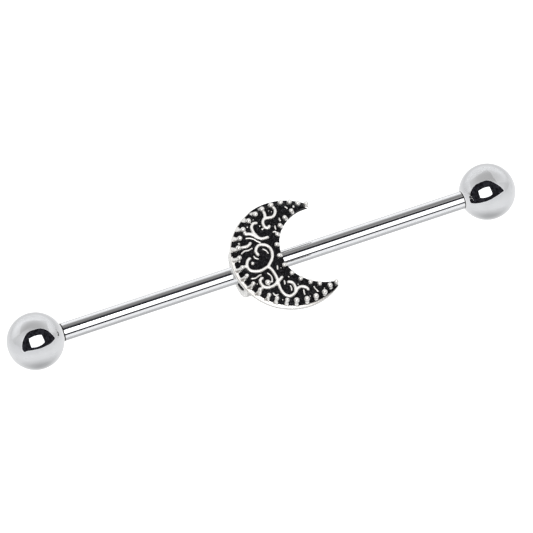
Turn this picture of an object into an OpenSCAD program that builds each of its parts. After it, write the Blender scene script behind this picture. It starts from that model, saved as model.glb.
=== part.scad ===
// Industrial barbell, 14 gauge, with a filigree crescent moon that slides on the bar.
// The origin is the middle of the bar's axis. X runs along the bar to the right ball
// and Z is up. The barbell lies as it comes to rest by itself: on its two balls and on
// the lower rim of the moon, whose face leans back and looks towards -Y.

/* [Bar] */
// Diameter of the bar
bar_d = 1.6; // [1.5:0.1:1.7]
// Wearable length of the bar between the two balls
bar_len = 38; // [32:1:44]
// Diameter of the threaded pin at each end of the bar
pin_d = 1.2; // [1:0.05:1.25]
// Length of each threaded pin
pin_len = 2.2; // [1.8:0.1:2.6]
// Bevel at the tip of each pin
pin_bevel = 0.15; // [0.1:0.05:0.2]

/* [Balls] */
// Diameter of each ball
ball_d = 5; // [4.8:0.1:5.2]
// How far the flat round the ball's hole reaches past the bar
flat_step = 0.06; // [0.05:0.01:0.1]
// Gap between the bar's shoulder and the ball's flat
seat_gap = 0.02; // [0.01:0.01:0.04]
// Radial gap round the pin in the ball's hole
thread_gap = 0.03; // [0.02:0.01:0.05]
// Space left past the pin's tip in the hole
hole_spare = 0.25; // [0.2:0.05:0.4]

/* [Moon] */
// Radius of the circle that the outer beads stand on
ring_r = 4.68; // [4.5:0.02:4.8]
// How much larger the rim band's radius is than that of the outer beads' circle
rim_out = 0.49; // [0.45:0.02:0.53]
// How far the rim band's centre sits to the left of the outer beads' circle's
rim_left = 0.24; // [0.2:0.02:0.26]
// How far the rim band's centre sits above it
rim_up = 0.06; // [0.04:0.01:0.08]
// How much smaller the radius of the inner beads' circle is than that of the outer beads'
bay_less = 0.62; // [0.58:0.01:0.66]
// Distance between the two circles' centres
bay_shift = 2.85; // [2.8:0.05:2.9]
// Turn of the crescent on its bail
bay_turn = -3.2; // [-4:0.2:0]
// Where the outer circle's centre sits along the bar
moon_x = 2.33; // [0:0.01:4]
// How far the outer circle's centre sits below the bar in the plane of the face
moon_drop = 0.25; // [0.1:0.05:0.3]

/* [Relief] */
// Height of the moon's flat back over the bar's axis
back_h = 0.95; // [0.94:0.01:1]
// Height of the rim band
band_h = 0.3; // [0.25:0.05:0.35]
// How far in from the rim band's edge the slope up to the ground starts
slope_in = 0.18; // [0.15:0.01:0.2]
// How far in from the outer beads' circle that slope ends
slope_end = 0.12; // [0.1:0.01:0.14]
// How far in from the inner beads' circle the bay's wall lies
bay_edge = 0.26; // [0.24:0.01:0.28]
// How far in from the rim band's edge the outer beads' legs end
leg_in = 0.25; // [0.22:0.01:0.28]
// Height of the legs' feet over the back
leg_up = 0.15; // [0.13:0.01:0.17]
// How far in from the inner beads' circle their legs stand
bay_leg_in = 0.13; // [0.11:0.01:0.15]
// Height of the dark ground over the back
ground_h = 0.58; // [0.55:0.01:0.65]
// Height of the broad scrolls over the ground
scroll_h = 0.2; // [0.15:0.01:0.22]
// Height of the fine strokes over the ground
fine_h = 0.12; // [0.1:0.01:0.14]
// Width of the broad scrolls
scroll_w = 0.31; // [0.28:0.01:0.33]
// Width of the fine strokes
fine_w = 0.14; // [0.12:0.01:0.16]
// Radius of an outer bead
bead_r = 0.23; // [0.2:0.01:0.24]
// Radius of an inner bead
bay_bead_r = 0.21; // [0.18:0.01:0.22]

/* [Bail] */
// Outer radius of the half-round bail, about the bar's axis
bail_r = 2.15; // [2:0.05:2.2]
// Length of the bail along the bar
bail_len = 3.6; // [3.2:0.1:3.8]
// Distance from the bail's middle to the bar's middle
bail_x = -0.7; // [-0.8:0.1:-0.6]
// Radial gap between the bail's bore and the bar
slide_gap = 0.08; // [0.05:0.01:0.1]
// Radius of the shallow recess at each end of the bail
recess_r = 1.5; // [1.4:0.05:1.6]
// Depth of that recess
recess_depth = 0.25; // [0.15:0.05:0.3]

/* [Hidden] */
$fn = 48;
steel = [0.80, 0.81, 0.83];
antiqued = [0.62, 0.62, 0.61];
bar_r = bar_d / 2;
ball_r = ball_d / 2;
pin_r = pin_d / 2;
hole_r = pin_r + thread_gap;
flat_r = bar_r + flat_step;
flat_reach = sqrt(ball_r * ball_r - flat_r * flat_r);
flat_x = bar_len / 2 + seat_gap;
ball_x = flat_x + flat_reach;
bore_r = bar_r + slide_gap;
rim_r = ring_r + rim_out;
ground_z = back_h + ground_h;
bead_z = ground_z + scroll_h;
bay_x = bay_shift * cos(bay_turn);
bay_y = bay_shift * sin(bay_turn);
bay_ring_r = ring_r - bay_less;
bite_r = bay_ring_r - bay_edge;

// The lean puts the lower edge of the moon's back on the floor, level with the balls.
low_reach = rim_r + moon_drop - rim_up;
lean = asin(ball_r / sqrt(low_reach * low_reach + back_h * back_h)) + atan(back_h / low_reach);

// The outer beads from tip to tip: direction from the outer circle's centre, and distance as a
// share of ring_r, since the cast beads don't stand quite on the circle.
bead_spots = [[52.8, 1.03], [61.4, 1], [70.4, 1.017], [80, 1.017], [90.6, 1.015], [101.5, 1.007],
              [111, 1], [122, 1], [134, 1], [145, 1], [156.5, 1], [168, 1], [179.5, 1], [190, 1],
              [201, 1], [211, 1], [222, 1], [231, 1], [242, 0.99], [252.3, 0.98], [263.7, 0.978],
              [274.2, 0.978], [285, 0.988], [294.9, 0.95], [303, 0.995]];
// Directions of the inner beads from the inner circle's centre.
bay_turns = [110.5, 123, 135.5, 148, 162, 177, 191, 205, 218, 231, 243];

// Scrolls are drawn in shares of scroll_span about a centre near the outer circle's.
scroll_span = ring_r * 1.078;
scroll_centre = [-0.056 * ring_r, -0.022 * ring_r];

// The big heart-like scroll: its upper lobe, and the lower lobe that runs to the rim.
heart_lobe = [[-0.52, 0.17], [-0.54, 0.22], [-0.515, 0.28], [-0.46, 0.325], [-0.39, 0.325],
              [-0.32, 0.285], [-0.28, 0.22], [-0.275, 0.14], [-0.3, 0.06], [-0.345, -0.005],
              [-0.405, -0.06], [-0.44, -0.09]];
heart_base = [[-0.44, -0.09], [-0.51, -0.11], [-0.59, -0.125], [-0.67, -0.11], [-0.74, -0.08],
              [-0.78, -0.03], [-0.785, 0.03], [-0.765, 0.085], [-0.73, 0.13], [-0.685, 0.15]];
heart_root = [[-0.785, 0.03], [-0.84, 0.04], [-0.9, 0.035]];
// The long stem, its lower bend and the hooks that leave it.
stem = [[-0.45, -0.09], [-0.415, -0.15], [-0.395, -0.23], [-0.385, -0.31], [-0.39, -0.39],
        [-0.4, -0.47], [-0.405, -0.55], [-0.395, -0.62], [-0.36, -0.69], [-0.3, -0.73],
        [-0.24, -0.725], [-0.18, -0.695], [-0.13, -0.65], [-0.07, -0.63], [-0.01, -0.645],
        [0.03, -0.68], [0.045, -0.72]];
stem_hook = [[-0.18, -0.695], [-0.155, -0.63], [-0.15, -0.56], [-0.175, -0.5], [-0.225, -0.475]];
stem_spur = [[-0.39, -0.41], [-0.34, -0.385], [-0.29, -0.355]];
// The round loop beside the stem.
loop_arc = [[-0.4, -0.4], [-0.45, -0.445], [-0.53, -0.465], [-0.61, -0.455], [-0.665, -0.41],
            [-0.685, -0.345], [-0.67, -0.285], [-0.62, -0.26]];
loop_root = [[-0.665, -0.42], [-0.72, -0.45], [-0.77, -0.51]];
// The forked scroll above the heart.
fork_left = [[-0.575, 0.65], [-0.58, 0.6], [-0.52, 0.585], [-0.46, 0.54], [-0.41, 0.475],
             [-0.35, 0.43], [-0.29, 0.42], [-0.235, 0.42]];
fork_right = [[-0.32, 0.735], [-0.38, 0.74], [-0.43, 0.69], [-0.44, 0.62], [-0.43, 0.55],
              [-0.4, 0.475]];
// The S scroll near the upper horn.
upper_s = [[0.06, 0.93], [0.08, 0.86], [0.05, 0.79], [-0.01, 0.75], [-0.08, 0.755],
           [-0.15, 0.765], [-0.2, 0.73], [-0.22, 0.67], [-0.21, 0.61], [-0.165, 0.58],
           [-0.13, 0.61]];
upper_root = [[-0.135, 0.92], [-0.12, 0.86], [-0.14, 0.77]];
// The wavy stroke on the left.
wave = [[-0.87, 0.385], [-0.8, 0.385], [-0.72, 0.385], [-0.65, 0.375], [-0.6, 0.39], [-0.565, 0.415]];
broad = [heart_lobe, heart_base, heart_root, stem, stem_hook, stem_spur, loop_arc, loop_root,
         fork_left, fork_right, upper_s, upper_root, wave];

// Fine strokes, one row each.
fine = [[[-0.6, 0.525], [-0.54, 0.51], [-0.48, 0.47], [-0.445, 0.42], [-0.395, 0.375]],
        [[-0.785, 0.285], [-0.71, 0.315], [-0.65, 0.305], [-0.57, 0.32]],
        [[-0.8, -0.205], [-0.73, -0.22], [-0.67, -0.2], [-0.61, -0.19]],
        [[-0.5, -0.2], [-0.47, -0.25], [-0.46, -0.31], [-0.485, -0.38]],
        [[-0.4, 0.245], [-0.36, 0.2], [-0.345, 0.14]],
        [[-0.6, 0.17], [-0.59, 0.13], [-0.55, 0.1]],
        [[-0.55, -0.58], [-0.53, -0.63], [-0.48, -0.635]],
        [[-0.215, -0.55], [-0.215, -0.6], [-0.23, -0.64]],
        [[-0.28, -0.43], [-0.285, -0.46], [-0.295, -0.49]],
        [[-0.03, -0.7], [-0.04, -0.74], [-0.045, -0.785]],
        [[0.16, -0.7], [0.17, -0.75], [0.195, -0.81]],
        [[-0.285, -0.13], [-0.295, -0.16], [-0.305, -0.19]],
        [[-0.045, 0.52], [-0.045, 0.55], [-0.035, 0.58]],
        [[0.09, 0.64], [0.085, 0.665], [0.09, 0.69]],
        [[-0.11, 0.48], [-0.09, 0.485], [-0.06, 0.475]],
        [[0.27, 0.86], [0.28, 0.845], [0.295, 0.82]]];

// Grains: place across and up, and radius, all as shares of scroll_span.
grains = [[-0.67, 0.055, 0.035], [-0.56, -0.365, 0.055], [-0.265, 0.595, 0.022],
          [-0.285, 0.665, 0.018], [-0.495, 0.715, 0.018], [-0.03, 0.88, 0.015],
          [0.01, 0.85, 0.015], [-0.35, 0.815, 0.015], [-0.75, 0.475, 0.022],
          [0.41, 0.815, 0.025], [-0.24, -0.185, 0.015], [-0.255, -0.305, 0.014],
          [-0.18, -0.385, 0.018], [-0.08, -0.57, 0.016], [0.03, -0.845, 0.016],
          [-0.745, -0.33, 0.016], [-0.87, 0.16, 0.018], [0.32, -0.79, 0.016],
          [-0.185, 0.855, 0.014], [-0.44, -0.745, 0.014]];

function place(p) = scroll_centre + scroll_span * p;

// A smooth line through the points: each span is halved on a cubic through its neighbours.
function at(P, i) = P[max(0, min(len(P) - 1, i))];
function midpoint(P, i) = (9 * (at(P, i) + at(P, i + 1)) - at(P, i - 1) - at(P, i + 2)) / 16;
function smooth(P) = [for (i = [0 : 2 * len(P) - 2])
    i % 2 == 0 ? P[i / 2] : midpoint(P, (i - 1) / 2)];

// The outline of a stroke of half width h with round ends.
function along(P, i) = let (d = at(P, i + 1) - at(P, i - 1)) d / norm(d);
function side(P, i, h) = let (d = along(P, i)) P[i] + h * [-d[1], d[0]];
function cap(P, i, h, start) = let (d = along(P, i), a = atan2(d[1], d[0]) + start)
    [for (k = [1 : 5]) P[i] - h * [cos(a + 30 * k), sin(a + 30 * k)]];
function stroke(P, h) = let (last = len(P) - 1) concat(
    [for (i = [0 : last]) side(P, i, -h)],
    cap(P, last, h, 90),
    [for (i = [last : -1 : 0]) side(P, i, h)],
    cap(P, 0, h, -90));

module shank() {
    color(steel)
    rotate([0, 90, 0]) {
        translate([0, 0, -bar_len / 2])
            cylinder(r = bar_r, h = bar_len);
        for (s = [0, 1])
            mirror([0, 0, s])
                translate([0, 0, bar_len / 2 - 0.2]) {
                    cylinder(r = pin_r, h = pin_len + 0.2 - pin_bevel);
                    translate([0, 0, pin_len + 0.2 - pin_bevel])
                        cylinder(r1 = pin_r, r2 = pin_r - pin_bevel, h = pin_bevel);
                }
    }
}

// A ball at the right end, turned about the bar's axis, with the flat and the blind hole.
module end_ball() {
    color(steel)
    translate([ball_x, 0, 0])
        rotate([0, 90, 0])
            rotate_extrude($fn = 96)
                difference() {
                    intersection() {
                        circle(r = ball_r, $fn = 96);
                        translate([0, -flat_reach])
                            square([ball_r, flat_reach + ball_r]);
                    }
                    translate([0, -ball_r])
                        square([hole_r, ball_r - flat_reach + pin_len + hole_spare]);
                }
}

module ball_right() {
    end_ball();
}

module ball_left() {
    mirror([1, 0, 0])
        end_ball();
}

// The solid body of the crescent up to the ground: a rim band and a sloping side.
module crescent_body() {
    difference() {
        union() {
            translate([-rim_left, rim_up, back_h])
                cylinder(r = rim_r, h = band_h, $fn = 96);
            translate([-rim_left / 2, rim_up / 2, back_h + band_h - 0.01])
                cylinder(r1 = rim_r - slope_in, r2 = ring_r - slope_end, h = ground_h - band_h + 0.01,
                         $fn = 96);
        }
        translate([bay_x, bay_y, 0])
            cylinder(r = bite_r, h = 2 * ground_z, $fn = 96);
        // The horns end blunt, just past their last beads.
        rotate([0, 0, -2.6])
            translate([ring_r * 0.636, -rim_r, 0])
                cube([rim_r, 2 * rim_r, 2 * ground_z]);
    }
}

// An outer bead with the leg that runs down to the rim band.
module outer_bead(turn, reach) {
    out = rim_r - rim_left * cos(turn) + rim_up * sin(turn) - leg_in - reach;
    down = bead_z - back_h - leg_up;
    rotate([0, 0, turn])
        translate([reach, 0, bead_z]) {
            sphere(r = bead_r, $fn = 24);
            rotate([0, 180 - atan2(out, down), 0])
                cylinder(r = bead_r * 0.85, h = norm([out, down]), $fn = 20);
        }
}

// An inner bead with its short upright leg on the bay's wall.
module bay_bead(turn) {
    translate([bay_x, bay_y, 0])
        rotate([0, 0, turn]) {
            translate([bay_ring_r, 0, bead_z - 0.02])
                sphere(r = bay_bead_r, $fn = 24);
            translate([bay_ring_r - bay_leg_in, 0, back_h + leg_up])
                cylinder(r = bay_bead_r * 0.85, h = bead_z - back_h - leg_up, $fn = 20);
        }
}

module relief() {
    for (line = broad)
        translate([0, 0, ground_z - 0.05])
            linear_extrude(scroll_h + 0.05)
                polygon(stroke(smooth([for (p = line) place(p)]), scroll_w / 2));
    for (line = fine)
        translate([0, 0, ground_z - 0.05])
            linear_extrude(fine_h + 0.05)
                polygon(stroke(smooth([for (p = line) place(p)]), fine_w / 2));
    for (grain = grains)
        translate(concat(place([grain[0], grain[1]]), ground_z - 0.05))
            cylinder(r = grain[2] * scroll_span, h = fine_h + 0.05, $fn = 16);
}

// The half-round bail under the moon, with the recess that frames its bore at each end.
module bail() {
    difference() {
        translate([bail_x - bail_len / 2, 0, 0])
            rotate([0, 90, 0])
                cylinder(r = bail_r, h = bail_len, $fn = 64);
        translate([bail_x - bail_len, -2 * bail_r, back_h + leg_up])
            cube([2 * bail_len, 4 * bail_r, 2 * bail_r]);
    }
}

module bail_recess() {
    for (s = [-1, 1])
        translate([bail_x + s * bail_len / 2, 0, 0])
            difference() {
                rotate([0, 90, 0])
                    cylinder(r = recess_r, h = 2 * recess_depth, center = true, $fn = 48);
                translate([-bail_len, -bail_r, back_h - 0.02])
                    cube([2 * bail_len, 2 * bail_r, bail_r]);
            }
}

module moon_charm() {
    color(antiqued)
    rotate([lean, 0, 0])
        difference() {
            union() {
                translate([moon_x, -moon_drop, 0]) {
                    crescent_body();
                    relief();
                    for (spot = bead_spots)
                        outer_bead(spot[0], spot[1] * ring_r);
                    for (turn = bay_turns)
                        bay_bead(turn);
                }
                bail();
            }
            bail_recess();
            translate([-rim_r, 0, 0])
                rotate([0, 90, 0])
                    cylinder(r = bore_r, h = 3 * rim_r, $fn = 48);
        }
}

shank();
ball_left();
ball_right();
moon_charm();
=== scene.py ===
"""Industrial barbell with a sliding crescent moon: the visual pieces and the photo stage.

The CAD frame gives the sizes: X runs along the bar and Z is up, in metres. The moon is
built in its own millimetre space, with the bar's axis at height 0 and the face up, and is
then leaned back onto the floor as in the frame.
"""

import math

import bmesh
import bpy
import numpy as np
from bpy.props import FloatProperty, FloatVectorProperty, IntProperty, PointerProperty
from mathutils import Matrix, Vector


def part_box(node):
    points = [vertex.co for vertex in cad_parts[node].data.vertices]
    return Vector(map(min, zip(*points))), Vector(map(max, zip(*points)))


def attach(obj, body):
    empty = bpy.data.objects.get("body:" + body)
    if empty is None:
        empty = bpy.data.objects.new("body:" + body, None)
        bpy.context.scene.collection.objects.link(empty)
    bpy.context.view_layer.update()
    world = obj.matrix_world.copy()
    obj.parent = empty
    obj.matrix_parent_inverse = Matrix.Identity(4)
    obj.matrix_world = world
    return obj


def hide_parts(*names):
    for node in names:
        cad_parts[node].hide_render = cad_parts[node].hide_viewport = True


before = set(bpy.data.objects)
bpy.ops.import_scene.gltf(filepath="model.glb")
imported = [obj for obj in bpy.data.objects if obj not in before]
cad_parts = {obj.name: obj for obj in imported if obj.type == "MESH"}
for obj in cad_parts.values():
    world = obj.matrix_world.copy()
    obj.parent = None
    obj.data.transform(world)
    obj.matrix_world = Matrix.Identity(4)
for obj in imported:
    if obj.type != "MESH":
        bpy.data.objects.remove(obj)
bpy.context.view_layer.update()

bl_info = {
    "name": "Crescent industrial barbell",
    "version": (1, 0, 0),
    "blender": (4, 5, 0),
    "location": "3D View > Sidebar > Barbell",
    "description": "Builds an industrial barbell with a filigree crescent moon",
    "category": "Object",
}

MM = 0.001
ball_low, ball_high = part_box("ball_right")
shank_low, shank_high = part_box("shank")
BALL_RADIUS = (ball_high.y - ball_low.y) / 2
BALL_CENTRE = ball_high.x - BALL_RADIUS
BALL_FLAT = ball_low.x
BAR_RADIUS = (shank_high.y - shank_low.y) / 2
PIN_TIP = shank_high.x

# Scrolls are drawn in thousandths of the pattern's span, from a centre near the moon's own.
BROAD_SCROLLS = [
    # The heart: its lobe, base and root
    [(-520, 170), (-540, 220), (-515, 280), (-460, 325), (-390, 325), (-320, 285), (-280, 220),
     (-275, 140), (-300, 60), (-345, -5), (-405, -60), (-440, -90)],
    [(-440, -90), (-510, -110), (-590, -125), (-670, -110), (-740, -80), (-780, -30), (-785, 30),
     (-765, 85), (-730, 130), (-685, 150)],
    [(-785, 30), (-840, 40), (-900, 35)],
    # The stem with its hook and spur
    [(-450, -90), (-415, -150), (-395, -230), (-385, -310), (-390, -390), (-400, -470),
     (-405, -550), (-395, -620), (-360, -690), (-300, -730), (-240, -725), (-180, -695),
     (-130, -650), (-70, -630), (-10, -645), (30, -680), (45, -720)],
    [(-180, -695), (-155, -630), (-150, -560), (-175, -500), (-225, -475)],
    [(-390, -410), (-340, -385), (-290, -355)],
    # The loop and its root
    [(-400, -400), (-450, -445), (-530, -465), (-610, -455), (-665, -410), (-685, -345),
     (-670, -285), (-620, -260)],
    [(-665, -420), (-720, -450), (-770, -510)],
    # The fork's two prongs
    [(-575, 650), (-580, 600), (-520, 585), (-460, 540), (-410, 475), (-350, 430), (-290, 420),
     (-235, 420)],
    [(-320, 735), (-380, 740), (-430, 690), (-440, 620), (-430, 550), (-400, 475)],
    # The upper scroll and its root, and the wave
    [(60, 930), (80, 860), (50, 790), (-10, 750), (-80, 755), (-150, 765), (-200, 730),
     (-220, 670), (-210, 610), (-165, 580), (-130, 610)],
    [(-135, 920), (-120, 860), (-140, 770)],
    [(-870, 385), (-800, 385), (-720, 385), (-650, 375), (-600, 390), (-565, 415)],
]
FINE_STROKES = [
    [(-600, 525), (-540, 510), (-480, 470), (-445, 420), (-395, 375)],
    [(-785, 285), (-710, 315), (-650, 305), (-570, 320)],
    [(-800, -205), (-730, -220), (-670, -200), (-610, -190)],
    [(-500, -200), (-470, -250), (-460, -310), (-485, -380)],
    [(-400, 245), (-360, 200), (-345, 140)],
    [(-600, 170), (-590, 130), (-550, 100)],
    [(-550, -580), (-530, -630), (-480, -635)],
    [(-215, -550), (-215, -600), (-230, -640)],
    [(-280, -430), (-285, -460), (-295, -490)],
    [(-30, -700), (-40, -740), (-45, -785)],
    [(160, -700), (170, -750), (195, -810)],
    [(-285, -130), (-295, -160), (-305, -190)],
    [(-45, 520), (-45, 550), (-35, 580)],
    [(90, 640), (85, 665), (90, 690)],
    [(-110, 480), (-90, 485), (-60, 475)],
    [(270, 860), (280, 845), (295, 820)],
]
# Grains: place across and up, and radius, in the same measure.
GRAINS = [(-670, 55, 35), (-560, -365, 55), (-265, 595, 22), (-285, 665, 18), (-495, 715, 18),
          (-30, 880, 15), (10, 850, 15), (-350, 815, 15), (-750, 475, 22), (410, 815, 25),
          (-240, -185, 15), (-255, -305, 14), (-180, -385, 18), (-80, -570, 16), (30, -845, 16),
          (-745, -330, 16), (-870, 160, 18), (320, -790, 16), (-185, 855, 14), (-440, -745, 14)]
# Outer beads: direction from the outer circle's centre, share of its radius, share of bead size.
BEAD_SPOTS = [(52.8, 1.03, 0.95), (61.4, 1, 1), (70.4, 1.017, 1), (80, 1.017, 1),
              (90.6, 1.01, 1.05), (101.5, 1.007, 1.05), (111, 1, 1.05), (122, 1, 1.05),
              (134, 1, 1), (145, 1, 1), (156.5, 1, 1.1), (168, 1, 0.95), (179.5, 1, 0.9),
              (190, 1, 0.85), (201, 1, 0.85), (211, 1, 0.9), (222, 1, 0.85), (231, 1, 0.9),
              (242, 0.99, 0.95), (252.3, 0.98, 1.1), (263.7, 0.978, 1.12), (274.2, 0.978, 1.1),
              (285, 0.988, 1.1), (294.9, 0.95, 1), (303, 0.995, 0.95)]
# The dark reflector in front of the barbell, in degrees from the camera's direction: direction
# from its middle, and its reach as the left ball, the right ball and the bar see it.
DOME = [(-165, 66, 93, 66), (-157, 67, 96, 67), (-150, 54, 86, 54), (-135, 44, 66, 50),
        (-120, 39, 54, 52), (-100, 37, 46, 55), (-80, 38, 44, 57), (-60, 43, 46, 62),
        (-45, 53, 50, 70), (-30, 67, 60, 70), (-22, 76, 68, 70), (-15, 84, 79, 79),
        (-7, 76, 72, 72), (5, 66, 62, 62), (20, 60, 55, 55), (40, 51, 51, 51), (60, 45, 48, 48),
        (80, 40, 44, 44), (100, 38, 45, 45), (120, 41, 52, 52), (140, 46, 59, 59),
        (155, 48, 66, 66), (170, 53, 76, 76), (185, 60, 86, 86)]
DOME_MIDDLE = (0, 5)
# Edge of the grey sheet above it, and of all that lies beyond, in degrees along and across.
SHEET = [(62, 18), (57, 45), (57, 83), (20, 85), (-20, 84), (-50, 81), (-54, 60), (-58, 36)]
BEYOND = [(112, 5), (120, 45), (85, 112), (20, 125), (-20, 125), (-80, 112), (-125, 50),
          (-118, 20)]
# Corners and sides of the bright window in its middle, degrees along and across.
WINDOW = [(-29, -17), (-15, -21), (0, -22), (15, -20), (25, -16), (26, -8), (25, 0), (24, 8),
          (23, 16), (9, 19), (-5, 19), (-15, 18), (-28, 15), (-29, 5), (-29, -6)]
# The part of the reflector that the moon's face looks into, lit for the moon alone.
FACE_LIGHT = [(4, 24), (14, 12), (30, 4), (48, 0), (66, 3), (57, 24), (40, 38), (24, 46), (8, 48),
              (-8, 48), (-12, 38), (-6, 30)]
# Directions of the inner beads from the inner circle's centre.
BAY_TURNS = [110.5, 123, 135.5, 148, 162, 177, 191, 205, 218, 231, 243]
# The surround's grey at each height, from straight down at 0 to straight up at 1.
SKY_STOPS = ((0, 0.47), (0.015, 0.51), (0.05, 0.64), (0.13, 0.8), (0.24, 0.84), (0.35, 0.8),
             (0.55, 0.68), (0.7, 0.84), (1, 0.86))
# Its darker patch: the middle in degrees along and across, the reach there as sines, the colour.
PATCH_MIDDLE = (12, 57)
PATCH_REACH = (1.12, 0.68)
PATCH_COLOR = (0.26, 0.255, 0.25)
# Cards beside the bar: two angles round it from the camera's direction, and the brightness.
BAR_CARDS = (("bar_light", -31, 15, 2), ("bar_shade", 38, 47, 0.12), ("bar_low", -88, -52, 0.22),
             ("bar_top", 84, 130, 0.27))
BAR_CARD_ENDS = (-10 * MM, 62 * MM)
# Hidden sizes of the turned steel, as in the CAD.
PIN_RADIUS = 0.75 * BAR_RADIUS
PIN_BEVEL = 0.15 * MM
SEAT_GAP = 0.02 * MM
HOLE_RADIUS = PIN_RADIUS + 0.03 * MM
HOLE_DEPTH = 2.45 * MM
# Colour of worn metal as a share of the clean metal's, and the colour of the painted shade: a dark
# line at the bar's ends, where the bar meets a ball.
WORN_SHARE = 0.86
JOINT_SHADE_COLOR = (0.02, 0.015, 0.01)


# Kinds of setting

def number(name, description, default, **more):
    return FloatProperty(name=name, description=description, default=default, **more)


def millimetres(name, description, default):
    """A size in the moon's own space, where the unit of length is a millimetre."""
    return number(name, description + ", mm", default)


def length(name, description, default):
    return number(name, description, default, unit="LENGTH", subtype="DISTANCE")


def degrees(name, description, default):
    return number(name, description, math.radians(default), subtype="ANGLE")


def fraction(name, description, default):
    return number(name, description, default, subtype="FACTOR", min=0, max=1)


def tint(name, description, default):
    return FloatVectorProperty(name=name, description=description, default=default,
                               subtype="COLOR", size=3, min=0, max=1)


class BarbellMetal(bpy.types.PropertyGroup):
    """Sizes and colours of the turned and polished steel pieces."""
    steel_color: tint(
        "Steel colour", "Colour that the polished steel reflects", (0.78, 0.79, 0.81))
    steel_roughness: fraction("Steel roughness", "How blurred the steel's reflections are", 0.035)
    drawn_roughness: fraction("Drawn roughness", "How far the bar blurs along its run", 0.055)
    segments: IntProperty(
        name="Segments", description="Sides round each turned piece", min=24, max=256,
        default=128)
    thread_pitch: length("Thread pitch", "Distance between the turns of the thread", 0.25 * MM)
    thread_depth: length("Thread depth", "Depth of the thread's groove", 0.09 * MM)
    # The dark line at the bar's ends is painted shade for the gap where the bar meets a ball.
    joint_shade_width: length("Joint shade line", "Width of the dark line where the bar meets a ball", 0.1 * MM)
    edge_bevel: length("Edge bevel", "Bevel on the bar's shoulders", 0.04 * MM)


class BarbellMoon(bpy.types.PropertyGroup):
    """Sizes of the moon, in millimetres in its own space."""
    ring_radius: millimetres("Outer bead circle", "Radius that the outer beads stand on", 4.68)
    rim_out: millimetres("Rim reach", "How much larger the rim's radius is than that", 0.49)
    rim_left: millimetres("Rim left", "How far left the rim's centre is of the beads'", 0.24)
    rim_up: millimetres("Rim up", "How far the rim's centre is above the beads'", 0.06)
    bay_ring_radius: millimetres("Inner bead circle", "Radius that the inner beads stand on", 4.06)
    bay_shift: millimetres("Bay shift", "Distance between the two circles' centres", 2.85)
    bay_draw: millimetres("Bay draw", "How far the bay draws in along the lower horn", 0.2)
    bay_turn: degrees("Bay turn", "Direction from the outer to the inner centre", -3.2)
    centre_along: millimetres("Place on the bar", "Outer centre's place along the bar", 2.33)
    centre_drop: millimetres("Drop", "How far the outer centre is below the bar", 0.25)
    back_height: millimetres("Back height", "Height of the back over the bar's axis", 0.95)
    band_height: millimetres("Band height", "Height of the rim band", 0.3)
    ground_height: millimetres("Ground height", "Height of the dark ground over the back", 0.58)
    scroll_height: millimetres("Scroll height", "Height of the scrolls over the ground", 0.2)
    scroll_width: millimetres("Scroll width", "Width of the broad scrolls", 0.29)
    fine_width: millimetres("Fine width", "Width of the fine strokes", 0.14)
    bead_radius: millimetres("Outer bead", "Radius of an outer bead", 0.23)
    bay_bead_radius: millimetres("Inner bead", "Radius of an inner bead", 0.21)
    bail_radius: millimetres("Bail radius", "Outer radius of the bail", 2.15)
    bail_length: millimetres("Bail length", "Length of the bail along the bar", 3.6)
    bail_along: millimetres("Bail place", "The bail's middle along the bar", -0.7)
    bore_gap: millimetres("Bore gap", "Radial gap round the bar in the bail", 0.08)
    recess_radius: millimetres("Recess radius", "Radius of the recess at the bail's ends", 1.5)
    recess_depth: millimetres("Recess depth", "Depth of that recess", 0.25)
    voxel: millimetres("Voxel", "Size of the voxels that fuse the casting", 0.04)
    silver_color: tint("Silver colour", "Colour of the bright raised parts", (0.95, 0.945, 0.93))
    patina_color: tint("Patina colour", "Colour of the blackened hollows", (0.008, 0.008, 0.009))


class BarbellStage(bpy.types.PropertyGroup):
    """The photo's view and light."""
    turn_left: degrees("Turn", "How far left of the moon's face the camera stands", 15)
    turn_down: degrees("Tilt", "How far below the moon's face the camera stands", 20)
    bar_slope: degrees("Bar slope", "Angle at which the bar rises across the picture", 18.32)
    scale: number("Scale", "Pixels of the picture to a millimetre", 11.52)
    picture: IntProperty(
        name="Picture", description="Width of the square picture in pixels", default=533)
    distance: length("Distance", "From the camera to the bar's middle", 0.45)
    middle_x: number("Middle across", "Where the bar's middle is in the picture, pixels", 264.1)
    middle_y: number("Middle down", "Where the bar's middle is in the picture, pixels", 265.5)
    dome_distance: length("Dome distance", "From the dark reflector to the bar's middle", 0.08)
    window_distance: length("Window distance", "From the bright window to the bar's middle", 0.115)
    surround: number("Surround", "Brightness of the white surround", 1.16)


def moon_settings():
    return bpy.context.scene.barbell_moon


def metal_settings():
    return bpy.context.scene.barbell_metal


def stage_settings():
    return bpy.context.scene.barbell_stage


# Mesh helpers

def mesh_object(name, vertices, faces, edges=()):
    mesh = bpy.data.meshes.new(name)
    mesh.from_pydata([tuple(v) for v in vertices], list(edges), list(faces))
    mesh.validate()
    obj = bpy.data.objects.new(name, mesh)
    bpy.context.scene.collection.objects.link(obj)
    return obj


def finish_mesh(obj, material):
    obj.data.materials.clear()
    obj.data.materials.append(material)
    obj.data.shade_smooth()
    return obj


def turned(rings, count):
    """Rings (place along X, radius or list of radii) joined round X, with points where r is 0."""
    vertices, faces, starts = [], [], []
    angles = np.linspace(0, 2 * math.pi, count, endpoint=False)
    for along, radius in rings:
        starts.append((len(vertices), np.isscalar(radius) and radius == 0))
        if starts[-1][1]:
            vertices.append((along, 0, 0))
            continue
        for angle, r in zip(angles, np.broadcast_to(radius, count)):
            vertices.append((along, r * math.cos(angle), r * math.sin(angle)))
    for (a, a_point), (b, b_point) in zip(starts, starts[1:]):
        for i in range(count):
            j = (i + 1) % count
            if a_point:
                faces.append((a, b + i, b + j))
            elif b_point:
                faces.append((a + i, b, a + j))
            else:
                faces.append((a + i, b + i, b + j, a + j))
    return vertices, faces


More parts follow.
